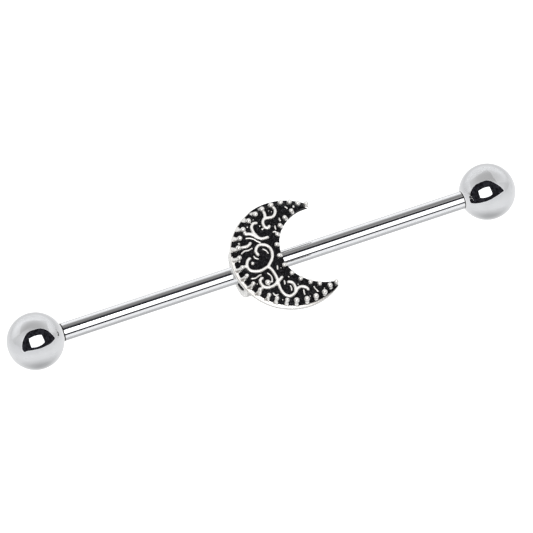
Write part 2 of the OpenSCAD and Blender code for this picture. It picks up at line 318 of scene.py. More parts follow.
def between(rows, count, closed=True):
    """Faces between rows of so many points each. A closed row goes round to its start."""
    return [(k * count + i, k * count + (i + 1) % count,
             (k + 1) * count + (i + 1) % count, (k + 1) * count + i)
            for k in range(rows - 1) for i in range(count if closed else count - 1)]


def heading(turn):
    """Shares across and up of a direction in degrees."""
    return math.cos(math.radians(turn)), math.sin(math.radians(turn))


def point_values(mesh, name, values):
    mesh.attributes.new(name, "FLOAT", "POINT").data.foreach_set("value", values)


def mirrored(vertices, faces):
    return [(-x, y, z) for x, y, z in vertices], [tuple(reversed(f)) for f in faces]


# Node trees

def add_node(tree, kind, inputs=None, **settings):
    """A new node. Each input is a value, the output that feeds it, or a list of such outputs."""
    node = tree.nodes.new(kind)
    for name, value in settings.items():
        setattr(node, name, value)
    for name, value in (inputs or {}).items():
        for source in value if isinstance(value, list) else [value]:
            if isinstance(source, bpy.types.NodeSocket):
                tree.links.new(source, node.inputs[name])
            else:
                node.inputs[name].default_value = source
    return node


def made(tree, kind, output, inputs=None, **settings):
    """One output of a new node."""
    return add_node(tree, kind, inputs, **settings).outputs[output]


def arithmetic(tree, operation, first, second):
    return made(tree, "ShaderNodeMath", "Value", {0: first, 1: second}, operation=operation)


def vector_step(tree, operation, *vectors):
    inputs = dict(enumerate(vectors))
    return made(tree, "ShaderNodeVectorMath", "Vector", inputs, operation=operation)


def spread(tree, value, low, high, out_low, out_high):
    """A value carried smoothly from one range into another."""
    return made(tree, "ShaderNodeMapRange", "Result", {
        "Value": value, "From Min": low, "From Max": high, "To Min": out_low,
        "To Max": out_high}, interpolation_type="SMOOTHSTEP")


def noise(tree, scale, detail, stretch=(1, 1, 1), roughness=0.5):
    """Noise over the object's own coordinates, in metres, optionally stretched."""
    place = made(tree, "ShaderNodeTexCoord", "Object")
    place = made(tree, "ShaderNodeMapping", "Vector", {"Vector": place, "Scale": stretch})
    return made(tree, "ShaderNodeTexNoise", "Fac", {
        "Vector": place, "Scale": scale, "Detail": detail, "Roughness": roughness})


def blend_color(tree, factor, dark, bright):
    """Goes from one colour or output to another. The node's colour sockets have no own names."""
    dark, bright = [(*c, 1) if isinstance(c, tuple) else c for c in (dark, bright)]
    first, second, result = 6, 7, 2
    inputs = {"Factor": factor, first: dark, second: bright}
    return made(tree, "ShaderNodeMix", result, inputs, data_type="RGBA")


def bump(tree, height, strength, distance):
    inputs = {"Strength": strength, "Distance": distance, "Height": height}
    return made(tree, "ShaderNodeBump", "Normal", inputs)


# Materials

def new_material(name):
    """A material with an empty node tree."""
    material = bpy.data.materials.new(name)
    material.use_nodes = True
    material.node_tree.nodes.clear()
    return material, material.node_tree


def show(tree, surface):
    add_node(tree, "ShaderNodeOutputMaterial", {"Surface": surface})


def polished_steel(name, stretch, drawn=0.0):
    """Mirror-polished steel with a faint grain; drawn steel blurs reflections along its run and
    carries a dark line of painted shade at its ends.
    """
    settings = metal_settings()
    material, tree = new_material(name)
    cloud = noise(tree, 700, 4, roughness=0.65)
    grain = noise(tree, 2500, 4, stretch)
    steel = tuple(settings.steel_color)
    color = blend_color(tree, cloud, tuple(WORN_SHARE * c for c in steel), steel)
    base = max(settings.steel_roughness, drawn)
    inputs = {"Metallic": 1, "Roughness": spread(tree, grain, 0.3, 0.75, base * 0.8, base * 1.2)}
    if drawn:
        # A dark line of painted shade at each end, where the bar meets a ball.
        joint = made(tree, "ShaderNodeAttribute", "Fac", attribute_name="joint")
        color = blend_color(tree, joint, color, JOINT_SHADE_COLOR)
        inputs["Tangent"] = made(tree, "ShaderNodeTangent", "Tangent", direction_type="UV_MAP",
                                 uv_map="run")
        inputs["Anisotropic"] = 1
    else:
        inputs["Normal"] = bump(tree, cloud, 0.12, 0.01 * MM)
    inputs["Base Color"] = color
    show(tree, made(tree, "ShaderNodeBsdfPrincipled", "BSDF", inputs))
    return material


def antiqued_silver():
    """Cast silver: bright where the casting is raised, blackened where it is hollow."""
    settings = moon_settings()
    material, tree = new_material("antiqued_silver")
    raised = made(tree, "ShaderNodeAttribute", "Fac", attribute_name="raised")
    speckle = noise(tree, 9000, 5, roughness=0.6)
    cloud = noise(tree, 1300, 3)
    uneven = arithmetic(tree, "MULTIPLY", arithmetic(tree, "SUBTRACT", speckle, 0.5), 0.5)
    wear = spread(tree, arithmetic(tree, "ADD", raised, uneven), 0.3, 0.55, 0, 1)
    silver = tuple(settings.silver_color)
    bright = blend_color(tree, cloud, tuple(WORN_SHARE * c for c in silver), silver)
    patina = tuple(settings.patina_color)
    dust = spread(tree, speckle, 0.5, 0.68, 0, 1)
    black = blend_color(tree, dust, patina, tuple(7 * c for c in patina))
    rough_hollow = arithmetic(tree, "MULTIPLY", arithmetic(tree, "SUBTRACT", 1, wear), 0.22)
    rough = arithmetic(tree, "ADD", spread(tree, cloud, 0.3, 0.7, 0.2, 0.32), rough_hollow)
    show(tree, made(tree, "ShaderNodeBsdfPrincipled", "BSDF", {
        "Base Color": blend_color(tree, wear, black, bright),
        "Metallic": spread(tree, wear, 0, 1, 1, 0.9), "Roughness": rough,
        "Normal": bump(tree, speckle, 0.35, 0.012 * MM)}))
    return material


# Geometry Nodes

def node_tree(name, inputs):
    """A tree with the named inputs after its geometry: name, socket type and default."""
    tree = bpy.data.node_groups.new(name, "GeometryNodeTree")
    tree.is_modifier = True
    tree.interface.new_socket("Geometry", in_out="INPUT", socket_type="NodeSocketGeometry")
    for label, kind, default in inputs:
        socket = tree.interface.new_socket(label, in_out="INPUT", socket_type=kind)
        if default is not None:
            socket.default_value = default
    tree.interface.new_socket("Geometry", in_out="OUTPUT", socket_type="NodeSocketGeometry")
    return tree, tree.nodes.new("NodeGroupInput").outputs


def end_tree(tree, geometry, given):
    real = made(tree, "GeometryNodeRealizeInstances", "Geometry", {"Geometry": geometry})
    painted = made(tree, "GeometryNodeSetMaterial", "Geometry", {
        "Geometry": real, "Material": given["Material"]})
    add_node(tree, "NodeGroupOutput", {"Geometry": painted})
    return tree


def half_width(tree):
    return made(tree, "GeometryNodeInputNamedAttribute", "Attribute", {"Name": "half_width"},
                data_type="FLOAT")


def wire_tree():
    """Round-ended wires along lines, each as thick as its half_width attribute says."""
    tree, given = node_tree("moon_wires", [
        ("Step", "NodeSocketFloat", 0.05), ("Height Share", "NodeSocketFloat", 1.0),
        ("Squareness", "NodeSocketFloat", 0.6), ("Sides", "NodeSocketInt", 16),
        ("Material", "NodeSocketMaterial", None)])
    line = made(tree, "GeometryNodeMeshToCurve", "Curve", {"Mesh": given["Geometry"]})
    line = made(tree, "GeometryNodeCurveSplineType", "Curve", {"Curve": line},
                spline_type="CATMULL_ROM")
    line = made(tree, "GeometryNodeResampleCurve", "Curve", {
        "Curve": line, "Length": given["Step"]}, mode="LENGTH")
    # The profile is a circle whose coordinates are raised to a power, a rounded square.
    ring = made(tree, "GeometryNodeCurvePrimitiveCircle", "Curve", {
        "Radius": 1, "Resolution": given["Sides"]})
    spot = made(tree, "GeometryNodeInputPosition", "Position")
    power = made(tree, "ShaderNodeCombineXYZ", "Vector", dict.fromkeys("XYZ", given["Squareness"]))
    size = vector_step(tree, "POWER", vector_step(tree, "ABSOLUTE", spot), power)
    profile = made(tree, "GeometryNodeSetPosition", "Geometry", {
        "Geometry": ring,
        "Position": vector_step(tree, "MULTIPLY", size, vector_step(tree, "SIGN", spot))})
    tube = made(tree, "GeometryNodeCurveToMesh", "Mesh", {
        "Curve": line, "Profile Curve": profile, "Scale": half_width(tree), "Fill Caps": True})
    caps = made(tree, "GeometryNodeInstanceOnPoints", "Instances", {
        "Points": line, "Scale": half_width(tree),
        "Selection": made(tree, "GeometryNodeCurveEndpointSelection", "Selection"),
        "Instance": made(tree, "GeometryNodeMeshIcoSphere", "Mesh", {
            "Radius": 1, "Subdivisions": 3})})
    both = made(tree, "GeometryNodeJoinGeometry", "Geometry", {"Geometry": [tube, caps]})
    share = made(tree, "ShaderNodeCombineXYZ", "Vector", {
        "X": 1, "Y": 1, "Z": given["Height Share"]})
    squeezed = made(tree, "GeometryNodeTransform", "Geometry", {"Geometry": both, "Scale": share})
    return end_tree(tree, squeezed, given)


def bead_tree():
    """A round bead on every point, as large as its half_width attribute says."""
    tree, given = node_tree("moon_beads", [
        ("Roundness", "NodeSocketInt", 4), ("Material", "NodeSocketMaterial", None)])
    ball = made(tree, "GeometryNodeMeshIcoSphere", "Mesh", {
        "Radius": 1, "Subdivisions": given["Roundness"]})
    beads = made(tree, "GeometryNodeInstanceOnPoints", "Instances", {
        "Points": given["Geometry"], "Instance": ball, "Scale": half_width(tree)})
    return end_tree(tree, beads, given)


def grown(name, points, edges, widths, tree, values):
    """Runs a node tree over points or lines and returns its result as plain mesh data."""
    obj = mesh_object(name, points, [], edges)
    point_values(obj.data, "half_width", widths)
    modifier = obj.modifiers.new("grow", "NODES")
    modifier.node_group = tree
    for item in tree.interface.items_tree:
        if item.in_out == "INPUT" and item.name in values:
            modifier[item.identifier] = values[item.name]
    return plain(obj)


def plain(obj):
    """The evaluated object as mesh data, with the object itself taken away."""
    graph = bpy.context.evaluated_depsgraph_get()
    mesh = bpy.data.meshes.new_from_object(obj.evaluated_get(graph))
    bpy.data.objects.remove(obj)
    return mesh


def mesh_arrays(mesh):
    vertices = np.zeros(len(mesh.vertices) * 3)
    mesh.vertices.foreach_get("co", vertices)
    return vertices.reshape(-1, 3), [tuple(p.vertices) for p in mesh.polygons]


# The moon, in millimetres in its own space

class MoonShape:
    """The moon's derived sizes."""

    def __init__(self):
        s = moon_settings()
        self.s = s
        self.rim_radius = s.ring_radius + s.rim_out
        bay_edge, slope_start, slope_end = 0.26, 0.18, 0.12
        self.bite_radius = s.bay_ring_radius - bay_edge
        self.ground = s.back_height + s.ground_height
        self.bead_height = self.ground + s.scroll_height
        self.bay = (s.bay_shift * math.cos(s.bay_turn), s.bay_shift * math.sin(s.bay_turn))
        # Where the horns are cut off, a thousandth of the scrolls' span, and their middle.
        self.cut = 0.625 * s.ring_radius
        self.cut_turn = math.radians(2.6)
        self.unit = 0.001078 * s.ring_radius
        self.pattern = (-0.056 * s.ring_radius, -0.022 * s.ring_radius)
        self.foot_radius = self.rim_radius - slope_start
        self.shoulder_radius = s.ring_radius - slope_end
        self.bore = BAR_RADIUS / MM + s.bore_gap

    def place(self, point, height):
        return (self.pattern[0] + self.unit * point[0],
                self.pattern[1] + self.unit * point[1], height)

    def to_world(self):
        """From the moon's space, about the outer circle's centre, to the frame, in metres."""
        reach = self.rim_radius + self.s.centre_drop - self.s.rim_up
        back = self.s.back_height
        lean = (math.asin(BALL_RADIUS / MM / math.hypot(reach, back))
                + math.atan2(back, reach))
        return (Matrix.Scale(MM, 4) @ Matrix.Rotation(lean, 4, "X")
                @ Matrix.Translation((self.s.centre_along, -self.s.centre_drop, 0)))

    def rim_centre(self, share=1.0):
        return (-self.s.rim_left * share, self.s.rim_up * share)

    def rim_reach(self, turn):
        """How far the rim's edge is from the outer beads' centre in a direction, in degrees."""
        (x, y), (c, n) = self.rim_centre(), heading(turn)
        return self.rim_radius + x * c + y * n

    def drawn(self, turn):
        """How far the bay's edge is drawn in at a direction, in degrees from its centre."""
        return self.s.bay_draw * smoothstep(turn, 190, 250)

    def crescent(self, outer, share, count=240):
        """Outline of the crescent whose outer edge has this radius, with blunt horns."""
        c, n = math.cos(self.cut_turn), math.sin(self.cut_turn)
        points = []
        for (x, y), radius, way in ((self.rim_centre(share), outer, 1),
                                    (self.bay, self.bite_radius, -1)):
            x, y = c * x - n * y, n * x + c * y
            half = math.acos((self.cut - x) / radius)
            for a in np.linspace(half, 2 * math.pi - half, count)[::way]:
                drawn = 0 if way > 0 else self.drawn(math.degrees(a - self.cut_turn))
                across, up = x + (radius - drawn) * math.cos(a), y + (radius - drawn) * math.sin(a)
                points.append((c * across + n * up, c * up - n * across))
        return points

    def slab(self, layers, share):
        """Solid through crescents of the given (outer radius, height), from low to high."""
        vertices = [(x, y, height) for outer, height in layers
                    for x, y in self.crescent(outer, share)]
        total, size = len(vertices), len(vertices) // len(layers)
        caps = [tuple(range(size - 1, -1, -1)), tuple(range(total - size, total))]
        return vertices, between(len(layers), size) + caps


def lines_of(strokes):
    """Points and edges of several open lines."""
    points, edges = [], []
    for stroke in strokes:
        edges += [(i, i + 1) for i in range(len(points), len(points) + len(stroke) - 1)]
        points += stroke
    return points, edges


def cast_parts(shape):
    """Closed meshes that overlap, and that the casting fuses: (vertices, faces) each."""
    s = shape.s
    back, band = s.back_height, s.back_height + s.band_height
    rim, back_bevel, face_bevel, sunk = shape.rim_radius, 0.05, 0.06, 0.1
    parts = [shape.slab([(rim - back_bevel, back), (rim, back + back_bevel),
                         (rim, band - face_bevel), (rim - face_bevel, band)], 1),
             shape.slab([(shape.foot_radius, back + sunk), (shape.foot_radius, band),
                         (shape.shoulder_radius, shape.ground)], 0.5)]
    wires, beads = wire_tree(), bead_tree()
    share = s.scroll_height / (s.scroll_width / 2)
    for name, strokes, width in (("scrolls", BROAD_SCROLLS, s.scroll_width),
                                 ("strokes", FINE_STROKES, s.fine_width)):
        points, edges = lines_of([[shape.place(p, 0) for p in stroke] for stroke in strokes])
        vertices, faces = mesh_arrays(grown(
            name, points, edges, [width / 2] * len(points), wires, {"Height Share": share}))
        parts.append((vertices + np.array([0, 0, shape.ground]), faces))

    points, widths, legs, leg_widths = [], [], [], []
    # Each outer bead has a finger that narrows to a waist and ends in a foot on the rim band.
    # The beads on the horns' tips stand on straight ones.
    foot_in, waist_share, waist_up, foot_up = 0.39, 0.45, 0.46, 0.15
    first_turn, last_turn, sink = 55, 300, 1.2
    for turn, share, size in BEAD_SPOTS:
        c, n = heading(turn)
        reach, out = share * s.ring_radius, shape.rim_reach(turn) - foot_in
        if turn < first_turn or turn > last_turn:
            out = reach
        points.append((reach * c, reach * n,
                       shape.bead_height - sink * max(0, size - 1) * s.bead_radius))
        widths.append(size * s.bead_radius)
        waist = waist_share * out + (1 - waist_share) * reach
        foot = 1.2 if out > reach else 0.7
        legs.append([points[-1], (waist * c, waist * n, back + waist_up),
                     (out * c, out * n, back + foot_up)])
        leg_widths += [0.85 * widths[-1], 0.8 * s.bead_radius, foot * s.bead_radius]
    # The inner beads are a little lower, with upright legs in the bay's wall.
    lower, leg_in, leg_down, leg_up = 0.02, 0.13, 0.06, 0.3
    for turn in BAY_TURNS:
        c, n = heading(turn)
        x, y = shape.bay
        reach = s.bay_ring_radius - shape.drawn(turn)
        points.append((x + reach * c, y + reach * n, shape.bead_height - lower))
        widths.append(s.bay_bead_radius)
        foot = (x + (reach - leg_in) * c, y + (reach - leg_in) * n)
        legs.append([(*foot, shape.bead_height - leg_down), (*foot, back + leg_up)])
        leg_widths += [0.8 * s.bay_bead_radius] * 2
    for across, up, radius in GRAINS:
        points.append(shape.place((across, up), shape.ground))
        widths.append(radius * shape.unit)
    parts.append(mesh_arrays(grown("beads", points, [], widths, beads, {})))
    parts.append(mesh_arrays(grown("legs", *lines_of(legs), leg_widths, wires, {})))
    return parts


def fused(name, parts, voxel):
    """Fuses overlapping closed parts into one smooth skin, like a casting."""
    vertices, faces = [], []
    for part_vertices, part_faces in parts:
        first = len(vertices)
        vertices += [tuple(v) for v in part_vertices]
        faces += [tuple(first + i for i in face) for face in part_faces]
    obj = mesh_object(name, vertices, faces)
    cast = obj.modifiers.new("cast", "REMESH")
    cast.mode = "VOXEL"
    cast.voxel_size = voxel
    soften = obj.modifiers.new("soften", "SMOOTH")
    soften.factor = 0.5
    soften.iterations = 3
    return plain(obj)


def smoothstep(value, low, high):
    t = np.clip((value - low) / (high - low), 0, 1)
    return t * t * (3 - 2 * t)


def raised_share(shape, vertices):
    """How far each point stands out of the dark ground and sides: 1 is bright, 0 is black.

    The fades run over millimetres, or over degrees round the outer circle's centre.
    """
    s = shape.s
    x, y, z = vertices.T
    band = s.back_height + s.band_height
    slope = (shape.shoulder_radius - shape.foot_radius) / (shape.ground - band)
    wall = shape.foot_radius + slope * np.clip(z - band, 0, None)
    foot_x, foot_y = shape.rim_centre(0.5)
    over_side = 0.85 * (np.hypot(x - foot_x, y - foot_y) - wall)
    bay_turn = np.degrees(np.arctan2(y - shape.bay[1], x - shape.bay[0])) % 360
    over_bay = (shape.bite_radius - shape.drawn(bay_turn)
                - np.hypot(x - shape.bay[0], y - shape.bay[1]))
    out = np.maximum(np.maximum(z - shape.ground, over_side), over_bay)
    back = smoothstep(s.back_height + 0.12 - z, 0, 0.05)
    low = 1 - smoothstep(z, band - 0.02, band + 0.12)
    bright = np.maximum(smoothstep(out + 0.035 * low, 0.02, 0.09), back)
    # The foot of the lower wall, and the rim's edge beside it, are bright and grey.
    turn = np.degrees(np.arctan2(y, x)) % 360
    rim_x, rim_y = shape.rim_centre()
    rim = np.hypot(x - rim_x, y - rim_y) - shape.rim_radius
    lower = smoothstep(turn, 180, 205) * (1 - smoothstep(turn, 285, 310))
    foot = (rim > -0.6) * (1 - smoothstep(z, band - 0.02, band + 0.1))
    bright = np.maximum(bright, 0.8 * foot * lower)
    edge = smoothstep(rim, -0.19, -0.09) * lower
    # The rim's top is blackened round the upper horn and between the beads beside it.
    spots = np.array([spot for spot, _, _ in BEAD_SPOTS])
    beside = np.abs(turn[:, None] - spots[None, :]).min(axis=1) * math.radians(s.ring_radius)
    spared = smoothstep(turn, 105, 122) * np.maximum(
        smoothstep(rim, -0.14, -0.06), 1 - smoothstep(beside, 0.17, 0.24))
    horn = smoothstep(turn, 30, 40) * (1 - smoothstep(turn, 158, 172)) * (1 - spared)
    inside_rim = 4.3
    bright = bright * (1 - horn * low * (np.hypot(x, y) > inside_rim))
    # The rim's side is duller towards the back.
    side = smoothstep(rim, -0.06, -0.01) * (1 - smoothstep(z, s.back_height, band - 0.08))
    return bright * (1 - 0.55 * side) * (1 - 0.4 * edge)


def moon_mesh(shape):
    mesh = fused("moon_cast", cast_parts(shape), shape.s.voxel)
    vertices, _ = mesh_arrays(mesh)
    point_values(mesh, "raised", raised_share(shape, vertices))
    mesh.transform(shape.to_world())
    return mesh


def bail_mesh(shape):
    """The half-round bail: rings of an outer half-round and an inner bore, stepped at the ends."""
    s = shape.s
    count, bevel, lip, dull = 128, 0.06, 0.02, 0.5
    top, recess_top = s.back_height + 0.1, s.back_height - 0.02
    half, deep = s.bail_length / 2, s.bail_length / 2 - s.recess_depth
    # Distance from the bail's middle, radius, height over which the ring is flat, brightness.
    # The recess and the bore get brightness 0, so they come out black: patina, and in the recess
    # beside the rim also painted shade.
    profile = [(deep, shape.bore, recess_top, 0), (deep, s.recess_radius, recess_top, 0),
               (half, s.recess_radius + lip, recess_top, dull),
               (half, s.bail_radius - bevel, top, dull), (half - bevel, s.bail_radius, top, dull)]
    rings = [(-away, *rest) for away, *rest in profile] + profile[::-1]
    vertices, raised = [], []
    for away, radius, ceiling, bright in rings:
        for a in np.linspace(0, 2 * math.pi, count, endpoint=False):
            vertices.append((s.bail_along + away, radius * math.cos(a),
                             min(radius * math.sin(a), ceiling)))
            raised.append(bright)
    # The last ring joins the first.
    faces = [tuple(corner % len(vertices) for corner in face)
             for face in between(len(rings) + 1, count)]
    mesh = plain(mesh_object("bail_draft", vertices, faces))
    point_values(mesh, "raised", raised)
    shift = Matrix.Translation((-s.centre_along, s.centre_drop, 0))
    mesh.transform(shape.to_world() @ shift)
    return mesh


def fix_normals(obj):
    """Turns every face outwards."""
    work = bmesh.new()
    work.from_mesh(obj.data)
    bmesh.ops.recalc_face_normals(work, faces=work.faces)
    work.to_mesh(obj.data)
    work.free()


class BARBELL_OT_shank(bpy.types.Operator):
    """Build the polished bar with its threaded ends"""
    bl_idname = "barbell.shank"
    bl_label = "Bar"

    def execute(self, context):
        s = metal_settings()
        shoulder = BALL_FLAT - SEAT_GAP
        start, steps, plain_rings = 0.1 * MM, 8, 12
        angles = np.linspace(0, 2 * math.pi, s.segments, endpoint=False)
        rings = [(PIN_TIP, 0), (PIN_TIP, PIN_RADIUS - PIN_BEVEL),
                 (PIN_TIP - 0.6 * PIN_BEVEL, PIN_RADIUS - 0.6 * PIN_BEVEL)]
        for along in np.arange(PIN_TIP - PIN_BEVEL, shoulder + start, -s.thread_pitch / steps):
            turn = (along / s.thread_pitch + angles / (2 * math.pi)) % 1
            groove = s.thread_depth * (1 - np.abs(2 * turn - 1))
            fade = min(1, (along - shoulder - start) / (2 * s.thread_pitch))
            rings.append((along, PIN_RADIUS - groove * fade))
        rings += [(shoulder + start, PIN_RADIUS), (shoulder, PIN_RADIUS),
                  (shoulder, BAR_RADIUS - s.edge_bevel), (shoulder - s.edge_bevel, BAR_RADIUS),
                  (shoulder - s.joint_shade_width, BAR_RADIUS),
                  (shoulder - 1.3 * s.joint_shade_width, BAR_RADIUS)]
        rings += [(x, BAR_RADIUS) for x in np.linspace(shoulder * 0.95, 0, plain_rings)]
        left = [(-along, radius if np.isscalar(radius) else radius[::-1])
                for along, radius in reversed(rings[:-1])]
        vertices, faces = turned(rings + left, s.segments)
        obj = mesh_object("bar_polished", vertices, faces)
        fix_normals(obj)
        # The map runs along the bar and round it, and stays clear of its edges.
        run, round_share = obj.data.uv_layers.new(name="run"), 7
        for loop in obj.data.loops:
            x, y, z = obj.data.vertices[loop.vertex_index].co
            run.data[loop.index].uv = (x / (2 * PIN_TIP) + 0.5,
                                       math.atan2(z, y) / round_share + 0.5)
        # Marks the dark line of painted shade at each end, where the bar meets a ball.
        point_values(obj.data, "joint", [
            1.0 if shoulder - 1.1 * s.joint_shade_width < abs(v.co.x) <= shoulder else 0.0
            for v in obj.data.vertices])
        finish_mesh(obj, polished_steel("bar_steel", (0.03, 1, 1), s.drawn_roughness))
        obj.visible_glossy = False
        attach(obj, "shank")
        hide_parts("shank")
        return {"FINISHED"}


class BARBELL_OT_balls(bpy.types.Operator):
    """Build the two polished end balls with their drilled flats"""
    bl_idname = "barbell.balls"
    bl_label = "Balls"

    def execute(self, context):
        s = metal_settings()
        flat_radius = math.sqrt(BALL_RADIUS ** 2 - (BALL_CENTRE - BALL_FLAT) ** 2)
        chamfer, soft_edge = 0.05 * MM, 0.02 * MM
        rings = [(BALL_FLAT + HOLE_DEPTH, 0), (BALL_FLAT + HOLE_DEPTH, HOLE_RADIUS),
                 (BALL_FLAT + chamfer, HOLE_RADIUS), (BALL_FLAT, HOLE_RADIUS + chamfer),
                 (BALL_FLAT, flat_radius - soft_edge)]
        first = math.atan2(flat_radius, BALL_FLAT - BALL_CENTRE)
        rings += [(BALL_CENTRE + BALL_RADIUS * math.cos(a), BALL_RADIUS * math.sin(a))
                  for a in np.linspace(first, 0, s.segments)[:-1]]
        rings.append((BALL_CENTRE + BALL_RADIUS, 0))
        material = polished_steel("ball_steel", (1, 0.4, 0.4))
        right = turned(rings, s.segments)
        for name, (vertices, faces) in (("ball_right", right), ("ball_left", mirrored(*right))):
            obj = mesh_object(name + "_polished", vertices, faces)
            fix_normals(obj)
            finish_mesh(obj, material)
            obj.visible_glossy = False
            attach(obj, name)
            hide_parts(name)
        return {"FINISHED"}


class BARBELL_OT_moon(bpy.types.Operator):
    """Build the cast crescent moon with its filigree, and the bail behind it"""
    bl_idname = "barbell.moon"
    bl_label = "Moon"

    def execute(self, context):
        shape = MoonShape()
        material = antiqued_silver()
        for name, mesh in (("moon_cast", moon_mesh(shape)), ("moon_bail", bail_mesh(shape))):
            obj = bpy.data.objects.new(name, mesh)
            context.scene.collection.objects.link(obj)
            fix_normals(obj)
            finish_mesh(obj, material)
            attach(obj, "moon_charm")
            if name == "moon_cast":
                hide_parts("moon_charm")
        return {"FINISHED"}


# The stage

def view_axes():
    """The picture's right and up directions and the direction towards the camera."""
    s = stage_settings()
    moon = MoonShape().to_world().to_3x3().normalized()
    side, down = math.sin(s.turn_left), math.sin(s.turn_down)
    toward = moon @ Vector((-side, -down, math.sqrt(1 - side * side - down * down)))
    bar = Vector((1, 0, 0))
    along = (bar - bar.dot(toward) * toward).normalized()
    across = toward.cross(along)
    c, n = math.cos(s.bar_slope), math.sin(s.bar_slope)
    return c * along - n * across, n * along + c * across, toward


def aimed(place, axes):
    """The direction at (degrees along, degrees across) from the camera's."""
    along, across, toward = axes
    polar, turn = math.radians(math.hypot(*place)), math.atan2(place[1], place[0])
    return (math.sin(polar) * (math.cos(turn) * along + math.sin(turn) * across)
            + math.cos(polar) * toward)


def stage_card(name, rings, material, lights=(), closed=True):
    """A card through lines of as many points each, which lights only the pieces in lights."""
    obj = mesh_object(name, [point for ring in rings for point in ring],
                      between(len(rings), len(rings[0]), closed))
    finish_mesh(obj, material)
    for flag in ("visible_camera", "visible_diffuse", "visible_shadow", "visible_transmission"):
        setattr(obj, flag, False)
    if lights:
        lit = bpy.data.collections.new(name + "_lights")
        for piece in lights:
            lit.objects.link(bpy.data.objects[piece])
        obj.light_linking.receiver_collection = lit
    return obj


def round_card(name, inner, outer, axes, distance, material, lights=(), closed=True):
    """A card on a sphere round the object, between two outlines in degrees along and across."""
    rings = [[distance * aimed((a + (c - a) * t, b + (d - b) * t), axes)
              for (a, b), (c, d) in zip(inner, outer)] for t in np.linspace(0, 1, 9)]
    return stage_card(name, rings, material, lights, closed)


def bar_card(name, low, high, toward, distance, material):
    """A card parallel to the bar, between two angles from the camera's, for the bar alone."""
    bar = Vector((1, 0, 0))
    out = (toward - bar.dot(toward) * bar).normalized()
    across = out.cross(bar)
    rings = []
    for turn in np.radians(np.linspace(low, high, 6)):
        middle = distance * (math.cos(turn) * out + math.sin(turn) * across)
        rings.append([middle + end * bar for end in BAR_CARD_ENDS])
    return stage_card(name, rings, material, ["bar_polished"], closed=False)


def shrunk(outline, share, middle=DOME_MIDDLE):
    return [(middle[0] + share * (x - middle[0]), middle[1] + share * (y - middle[1]))
            for x, y in outline]


def reaching(turns, reaches, middle=DOME_MIDDLE):
    """The outline that reaches so many degrees from the middle in each direction."""
    return [(middle[0] + reach * c, middle[1] + reach * n)
            for (c, n), reach in zip(map(heading, turns), reaches)]


def give_light(tree, color, strength, clear):
    """Ends a tree in light of this colour. A clear surface lets all other light through."""
    inputs = {"Color": color, "Strength": strength}
    surface = made(tree, "ShaderNodeEmission", "Emission", inputs)
    if clear:
        through = made(tree, "ShaderNodeBsdfTransparent", "BSDF")
        surface = made(tree, "ShaderNodeAddShader", "Shader", {0: surface, 1: through})
    show(tree, surface)


def lit_card(name, strength, color=(1, 1, 1), clear=True, uneven=0.0):
    """A surface that only gives off light."""
    material, tree = new_material(name)
    if uneven:
        strength = spread(tree, noise(tree, 60, 3), 0.35, 0.65, strength * (1 - uneven),
                          strength * (1 + uneven))
    give_light(tree, (*color, 1), strength, clear)
    return material


def sky_card(name, axes, sky, patch):
    """A clear card that gives off the surround's light, a share of its patch, or both."""
    material, tree = new_material(name)
    place = made(tree, "ShaderNodeNewGeometry", "Position")
    color, shade = sky_light(tree, vector_step(tree, "NORMALIZE", place), axes)
    strength = arithmetic(tree, "MULTIPLY", shade, patch)
    if sky:
        strength = arithmetic(tree, "ADD", strength, stage_settings().surround)
    give_light(tree, color if sky else (1, 1, 1, 1), strength, True)
    return material


def soft_patch(tree, direction, axes, reach):
    """A soft round share, 1 at the last axis and 0 past the reach along the other two."""
    dots = [made(tree, "ShaderNodeVectorMath", "Value", {0: direction, 1: axis},
                 operation="DOT_PRODUCT") for axis in axes]
    squares = []
    for dot, size in zip(dots, reach):
        scaled = arithmetic(tree, "DIVIDE", dot, size)
        squares.append(arithmetic(tree, "MULTIPLY", scaled, scaled))
    front = arithmetic(tree, "GREATER_THAN", dots[-1], 0)
    total = arithmetic(tree, "ADD", *squares)
    return arithmetic(tree, "MULTIPLY", front, spread(tree, total, 1.3, 0, 0, 1))


def sky_light(tree, direction, axes):
    """The surround's colour in a direction, and how far that lies in its darker patch."""
    middle = aimed(PATCH_MIDDLE, axes)
    side = middle.cross(axes[0]).normalized()
    shade = soft_patch(tree, direction, (side.cross(middle), side, middle), PATCH_REACH)
    up = made(tree, "ShaderNodeSeparateXYZ", "Z", {"Vector": direction})
    height = made(tree, "ShaderNodeMapRange", "Result", {"Value": up, "From Min": -1})
    ramp = add_node(tree, "ShaderNodeValToRGB", {"Fac": height})
    points = ramp.color_ramp.elements
    while len(points) < len(SKY_STOPS):
        points.new(0.5)
    for point, (where, grey) in zip(points, SKY_STOPS):
        point.position = where
        point.color = (grey, grey, grey, 1)
    return blend_color(tree, shade, ramp.outputs["Color"], PATCH_COLOR), shade


def surround(axes):
    """White all round, softly shaded towards the table underneath and above the object."""
    world = bpy.data.worlds.new("surround")
    world.use_nodes = True
    tree = world.node_tree
    direction = made(tree, "ShaderNodeTexCoord", "Generated")
    background = tree.nodes["Background"]
    tree.links.new(sky_light(tree, direction, axes)[0], background.inputs["Color"])
    background.inputs["Strength"].default_value = stage_settings().surround
    return world


def set_floor():
    reach = 1.2
    corners = [(-reach, -reach), (reach, -reach), (reach, reach), (-reach, reach)]
    floor = mesh_object("floor", [(x, y, -BALL_RADIUS) for x, y in corners], [(0, 1, 2, 3)])
    material, tree = new_material("floor_white")
    grey = (0.5, 0.5, 0.5, 1)
    show(tree, made(tree, "ShaderNodeBsdfPrincipled", "BSDF", {
        "Base Color": grey, "Roughness": 0.9, "Specular IOR Level": 0.1,
        "Emission Color": grey, "Emission Strength": 2}))
    finish_mesh(floor, material)
    floor.visible_glossy = False


